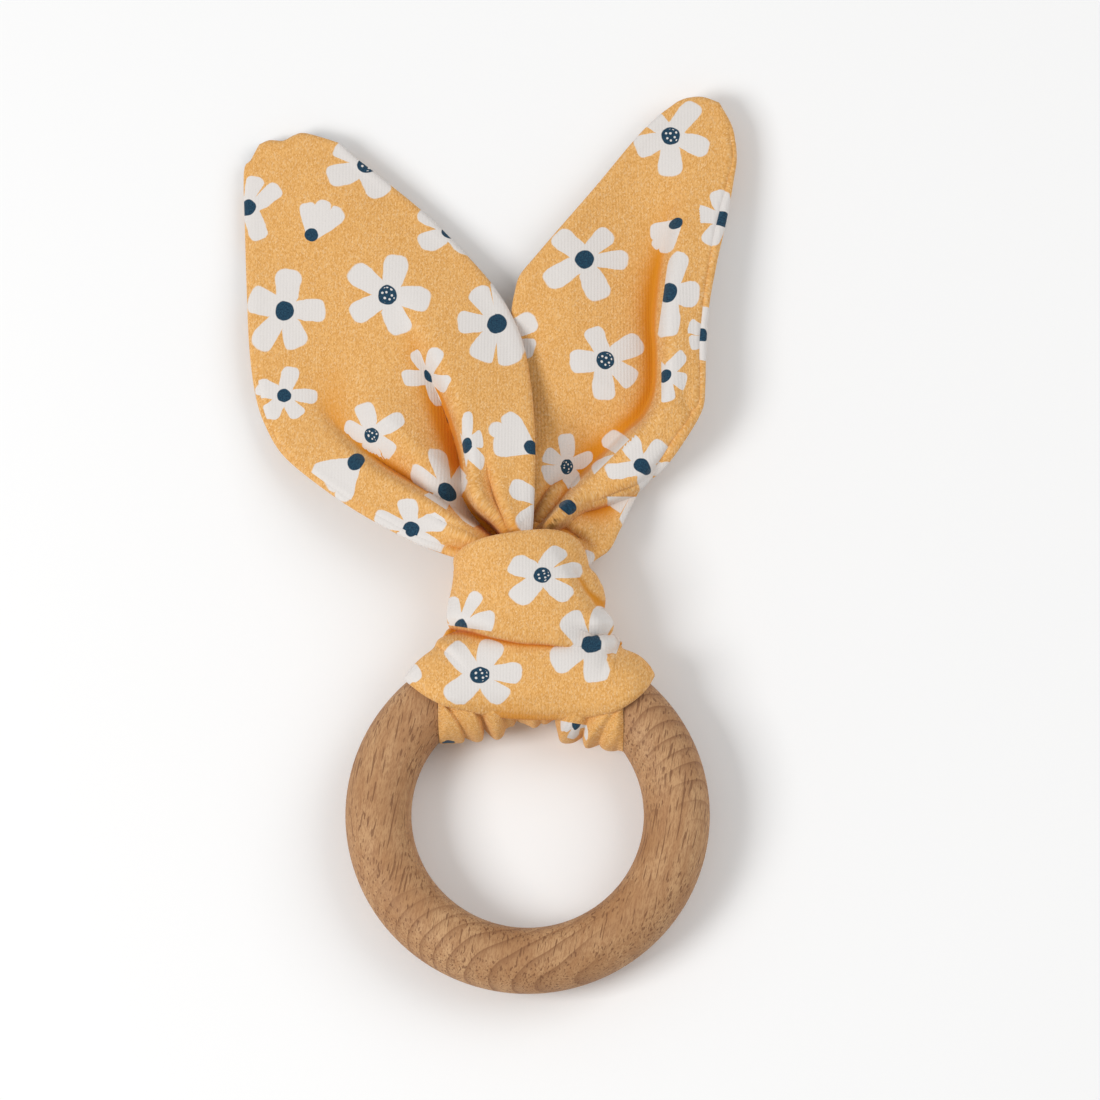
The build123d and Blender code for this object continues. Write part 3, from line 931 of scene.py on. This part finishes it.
def knot_front_height(p):
    """Height of the cloth in front: the skirt over the ring, and the band of the knot above it."""
    x, y = p[..., 0], p[..., 1]
    left, right = np.interp(y, *np.array(KNOT_LEFT).T), np.interp(y, *np.array(KNOT_RIGHT).T)
    q = np.clip((x - (left + right) / 2) / ((right - left) / 2), -1, 1)
    tall = (KNOT_TALL - 0.3) * (1 - 0.14 * np.clip((y - 44) / 10, -1, 1) ** 2)
    band = KNOT_Z + tall * (1 - np.abs(q) ** 2.4) ** (1 / 2.4)
    band -= 1.8 * smooth((x - 5) / 9) * smooth((41 - y) / 9)
    skirt = over_ring(p, 1.2) + 1.0 * smooth((y - 27) / 6) * np.exp(-((x / 15) ** 2))
    progress, d, _ = along_line(p, curve(FOLD_LINE, LINE_POINTS))
    crisp = 1 - smooth((progress - 0.60) / 0.22)
    share = crisp * rounded(d / 2.4) + (1 - crisp) * smooth((d + 5) / 11)
    z = skirt + (band - skirt) * share
    z -= crisp * 1.7 * np.exp(-np.maximum(-d, 0) / 1.1) * smooth((0.9 - d) / 0.9) * smooth((x + 15.4) / 1.2)
    # the fold is deepest at the left, where the band's corner turns under
    z += 0.8 * crisp * np.exp(-(((d - 2.2) / 1.7) ** 2)) * smooth((3 - x) / 12)
    # a crease and two lumps down the right side
    z += fold(p, [(8.2, 46.0), (9.4, 44.2), (11.0, 41.9), (12.8, 40.1), (14.4, 39.2)], -1, 1.0, 2.4, 0.9,
                 3.4, 3.4, near=0.9, fade=0.8)
    z += fold(p, [(6.0, 50.5), (8.2, 48.0), (9.9, 46.6), (11.6, 46.0)], -1, 0.5, 0.6, 0.9, 3, 3, near=1,
                 fade=0.6)
    z += 1.7 * mound(p, 13.8, 36.9, 2.6, 1.9)
    z += 1.7 * mound(p, 14.9, 32.7, 2.8, 1.5)
    z += groove(p, [(17.0, 34.6), (15.4, 34.5), (13.6, 34.5), (12.0, 34.2)], 2.2, 0.6, fade=0.3)
    z += fold(p, [(16.5, 30.8), (13.0, 31.4), (9.0, 31.2)], 1, 0.4, 0.8, 0.8, 3, 2.4, near=1, fade=0.4)
    # creases in the skirt
    z += fold(p, [(-18.6, 33.2), (-17.4, 32.6), (-15.4, 31.6), (-13.6, 30.1), (-12.0, 28.4)], 1, 0.9, 0.9,
                 0.5, 4, 3, near=1, fade=0.4)
    z += fold(p, [(18.8, 32.2), (17.6, 31.6), (16.2, 30.2), (15.0, 28.4), (14.2, 26.0)], 1, 1.0, 0.9, 0.6,
                 5, 3, near=1, fade=0.35)
    z += 0.25 * np.sin(x / 3.1 + 0.8) * smooth((28 - y) / 8)
    z += 0.35 * np.exp(-(((y - 23.6 - 0.03 * x) / 1.3) ** 2)) * np.exp(-(((x - 3) / 9) ** 2))
    hem = [(a, b + 1.2) for a, b in FRONT_HEM[1:-1]]
    z += groove(p, hem, 0.12, 0.4, fade=0.98)
    # the pull of the knot in the band
    z += 0.3 * np.sin(x / 3.3 + y / 5.2) * smooth((y - 38) / 4) * (1 - q**4)
    return z


def make_knot_front():
    left, right = curve(FRONT_LEFT, RIM_POINTS), curve(FRONT_RIGHT, RIM_POINTS)
    place = patch(left, right, curve(FRONT_HEM, RIM_POINTS), curve(FRONT_TOP, RIM_POINTS),
                  closer_at_ends(FRONT_COLUMNS, 0.86), closer_at_ends(FRONT_ROWS, 0.35))
    z = knot_front_height(place)
    x, y = place[..., 0], place[..., 1]
    corner = np.minimum(np.hypot(x + 23.7, y - 26.2), np.hypot(x - 24.3, y - 26.8))
    z -= 1.4 * np.exp(-((corner / 3) ** 2))
    # the rim on the right is evened, because its creases would leave it ragged
    by_rim = np.exp(-((rim_distance(in_frame(x, y, z), False) / 1.4) ** 2)) * smooth((x - 4) / 4)
    z += by_rim * (evened(z, 9, 12) - z)
    middle = in_frame(x, y, z)
    edge = rim_distance(middle, False)
    middle[..., 2] -= 1.5 * np.exp(-edge / 1.5) * smooth((30 - y) / 6)
    half = rim_half(edge, FRONT_HALF)
    blooms = [
        bloom(2.8, 46.1, 7.4, DOTTED, (10, 58, 157, 224, 320), narrow=0.9, along=10),
        bloom(-12.8, 35.7, 7.0, DAISY, (4, 57, 106, 200, 280), narrow=0.8, along=57, cut=262, reach=-0.4),
        bloom(12.1, 32.9, 8.6, DAISY, (3, 68, 127, 210, 281), cut=340, reach=5.3),
        bloom(-9.2, 27.0, 8.5, DOTTED, (3, 66, 137, 217, 317), narrow=0.88, along=10),
        bloom(-26.6, 25.4, 6.6, DAISY, (20, 92, 164, 236, 308)),
    ]
    # painted shade in the creases of the knot and skirt, from how far the cloth lies below its surroundings
    return two_panels("knot_cloth", middle, half, False, blooms, [], 2.4 * hollows(z))


knot_front, front_cut = make_knot_front()
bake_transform(knot_front)
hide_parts("front_skirt")

LIP = 1.4


def knot_profile(top, bottom):
    """Distance inside the band's outer surface, and place along the knot, once over the band."""
    turn = np.linspace(math.pi, 0, 12)
    deep = np.linspace(6.0, 0.0, 8)[:-1]
    rows = [(2 * LIP, bottom + d) for d in deep]
    rows += [(LIP - LIP * math.cos(a), bottom - LIP * math.sin(a) + LIP) for a in turn]
    for share in np.linspace(0, 1, 50)[1:-1]:
        rows.append((0.0, bottom + LIP + (top - bottom - 2 * LIP) * share))
    rows += [(LIP - LIP * math.cos(a), top - LIP + LIP * math.sin(a)) for a in turn[::-1]]
    rows += [(2 * LIP, top - LIP - d) for d in deep[::-1]]
    return np.array(rows)


def make_knot_back():
    around = np.linspace(0, 2 * math.pi, 221)
    grid = []
    for a in around:
        front = max(math.sin(a), 0) ** 0.5
        rows = knot_profile(50.6 - 0.4 * front, 35.2 + 2.4 * front)
        y = rows[:, 1]
        left = np.interp(y, *np.array(KNOT_LEFT).T)
        right = np.interp(y, *np.array(KNOT_RIGHT).T)
        tall = (KNOT_TALL - 1.4 * front) * (1 - 0.10 * ((y - 43) / 11) ** 2)
        c, s = math.cos(a), math.sin(a)
        power = 2 / 2.3
        inside = rows[:, 0] + 0.5 + 0.5 * front
        x = (left + right) / 2 + ((right - left) / 2 - inside) * math.copysign(abs(c) ** power, c)
        z = KNOT_Z + (tall - rows[:, 0]) * math.copysign(abs(s) ** power, s)
        behind = max(-s, 0)
        z = z + behind * 0.35 * np.sin(x / 2.3 + y / 3.1)
        grid.append(np.stack([x, y, z], axis=1))
    grid = np.array(grid).transpose(1, 0, 2)[:, ::-1]
    return tube("knot_back_cloth", grid, scatter((-14, 30), (14, 52), 15, KNOT_SEED))


def tube(name, grid, blooms, flip=False):
    """A closed tube of cloth; its columns run once round and its first and last are the same."""
    rows, columns = grid.shape[:2]
    index = np.arange(rows * columns).reshape(rows, columns)
    lengths = around_lengths(grid).reshape(-1, 2)
    faces = grid_faces(index)
    if flip:
        faces = faces[:, ::-1]
    points = grid.reshape(-1, 3)
    corner, kind = print_on(faces, points, lengths, blooms)
    same = np.arange(rows * columns)
    same[index[:, -1]] = index[:, 0]
    return make_piece(name, points, same[faces], lengths, np.zeros(len(points)), corner, kind)


def around_lengths(grid):
    """Cloth coordinates of a tube in mm: round it, and along it."""
    s = run_along(grid, 1)
    s = s / np.maximum(s[:, -1:], 1e-9) * np.median(s[:, -1])
    along = np.linalg.norm(np.diff(grid, axis=0), axis=2).mean(axis=1)
    t = np.concatenate([[0], np.cumsum(along)])
    return np.stack([s, np.repeat(t[:, None], grid.shape[1], axis=1)], axis=2)


knot_back = make_knot_back()
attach(knot_back, "knot")
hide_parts("knot_band")


# ---------------------------------------------------------------- gathers round the ring

WRAP_RIGHT, WRAP_LEFT = (50.0, 34.6), (127.5, 139.8)
RUFFLES = [
    (33.0, 22.8), (35.2, 22.3), (37.0, 20.2), (41.0, 19.6), (46.5, 18.9), (49.6, 17.2), (54.5, 17.6),
    (58.0, 16.7), (64.0, 15.9), (67.6, 15.9), (71.5, 17.6), (76.0, 18.5), (81.0, 17.9), (86.0, 17.2),
    (90.0, 17.9), (93.6, 18.3), (98.0, 17.5), (101.5, 17.8), (105.0, 16.6), (108.6, 16.0), (112.6, 16.0),
    (116.6, 17.6), (120.0, 17.0), (124.0, 17.4), (127.0, 18.9), (130.0, 18.6), (134.0, 20.0), (138.2, 21.4),
    (141.0, 22.0),
]
CREASES = [
    (38.5, 1.3, 3.0), (47.5, 0.9, 4.0), (56.8, 2.1, 1.5), (75.0, 2.0, 0.0), (82.0, 0.8, 0.0),
    (96.5, 1.3, 0.0), (103.5, 0.7, -0.5), (115.5, 2.3, -0.5), (127.5, 1.0, -1.0),
]


def make_wrap():
    section = np.linspace(0, 2 * math.pi, 151)
    towards_hole = np.maximum(-np.cos(section), 0)[None] ** 1.3
    share = np.linspace(0, 1, 420)[:, None]
    first = WRAP_RIGHT[0] + (WRAP_RIGHT[1] - WRAP_RIGHT[0]) * towards_hole
    last = WRAP_LEFT[0] + (WRAP_LEFT[1] - WRAP_LEFT[0]) * towards_hole
    degrees = first + (last - first) * share
    around = np.radians(degrees)
    inner = sum(np.interp(degrees + d, *np.array(RUFFLES).T) for d in (-1.4, -0.7, 0, 0.7, 1.4)) / 5
    radius = SECTION + 0.9 + (RING - inner - SECTION - 0.9) * towards_hole
    for place, depth, slant in CREASES:
        gap = degrees - place + slant * (towards_hole - 0.6)
        radius -= depth * np.exp(-np.sqrt(gap**2 + 0.1) / 1.7) * (0.45 + 0.55 * towards_hole)
    radius += 0.22 * np.sin(degrees * 1.9 + 2 * np.sin(section)[None]) * (1 - towards_hole)
    end = np.minimum(degrees - first, last - degrees)
    radius = (SECTION + 0.08) + (np.maximum(radius, SECTION + 0.25) - SECTION - 0.08) * rounded(end / 2.2)
    z = np.maximum(radius * np.sin(section)[None], FLOOR / MM + 0.05)
    reach = RING + radius * np.cos(section)[None]
    grid = np.stack([reach * np.cos(around), reach * np.sin(around), z], axis=2)
    blooms = [
        bloom(-15.2, 14.0, 5.6, EYE, (0, 72, 144, 216, 288)),
        bloom(9.3, 17.0, 5.2, DAISY, (20, 95, 160, 235, 300), narrow=0.75, along=110, cut=80, reach=0.6),
    ]
    return tube("wrap_cloth", grid, blooms, flip=True)


wrap = make_wrap()
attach(wrap, "loop")
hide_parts("ring_wrap")


def make_throat():
    """The cloth between the gathers and the inside of the knot."""
    around = np.linspace(0, 2 * math.pi, 121)
    along = np.linspace(0, 1, 24)
    grid = np.zeros((len(along), len(around), 3))
    wide = 11.0 - 0.8 * along
    tall = 6.2 + 0.8 * along
    ripple = 1 + 0.03 * np.cos(9 * around)[None]
    grid[..., 0] = wide[:, None] * np.cos(around)[None] * ripple
    grid[..., 1] = (34.0 + 9.0 * along)[:, None]
    grid[..., 2] = KNOT_Z * along[:, None] + tall[:, None] * np.sin(around)[None] * ripple
    return tube("throat_cloth", grid[:, ::-1], [])


throat = make_throat()
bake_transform(throat)
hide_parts("knot_core")


# ---------------------------------------------------------------- ring, floor, light and camera

beech = beech_material()
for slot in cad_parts["wooden_ring"].material_slots:
    slot.material = beech


FLOOR_REACH = 3.0
FLOOR_GAP = 0.0001


def make_floor():
    material, tree, shader = new_material("floor")
    place = node(tree, "ShaderNodeTexCoord").outputs["Object"]
    colour = mix(noise(place, 4.0, 3.0), (0.91, 0.91, 0.91, 1), (0.94, 0.94, 0.935, 1))
    tree.links.new(colour, shader.inputs["Base Color"])
    shader.inputs["Roughness"].default_value = 0.9
    mesh = bpy.data.meshes.new("floor")
    corners = [(x * FLOOR_REACH, y * FLOOR_REACH, 0) for x, y in ((-1, -1), (1, -1), (1, 1), (-1, 1))]
    mesh.from_pydata(corners, [], [(0, 1, 2, 3)])
    mesh.materials.append(material)
    floor = add_object("floor", mesh)
    floor.location = (0, 0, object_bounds()[0].z - FLOOR_GAP)


make_floor()


LIT_PLACE = (0, 0.05, 0)


def make_light(name, place, size, power):
    data = bpy.data.lights.new(name, "AREA")
    data.size = size
    data.energy = power
    light = add_object(name, data)
    light.location = place
    aim = Vector(LIT_PLACE) - Vector(place)
    light.rotation_euler = aim.to_track_quat("-Z", "Y").to_euler()


make_light("key", (-0.80, -0.28, 0.85), 0.5, 8.5)
make_light("fill", (0.75, 0.35, 0.90), 0.9, 4.5)
world = bpy.data.worlds.new("studio")
world.use_nodes = True
sky = world.node_tree.nodes["Background"]
sky.inputs[0].default_value = (1.0, 1.0, 1.0, 1)
sky.inputs[1].default_value = 0.46
bpy.context.scene.world = world
bpy.context.scene.view_settings.view_transform = "Standard"


def make_camera():
    data = bpy.data.cameras.new("camera")
    data.sensor_width = SENSOR
    data.lens = SENSOR * CAMERA_DISTANCE / (PICTURE_WIDTH * MM)
    camera = add_object("camera", data)
    aim = in_frame(*PICTURE_CENTRE, 0.0) * MM
    camera.location = aim + CAMERA_DISTANCE * np.array([0, -math.sin(TILT), math.cos(TILT)])
    camera.rotation_euler = (TILT, 0, 0)
    bpy.context.scene.camera = camera


make_camera()
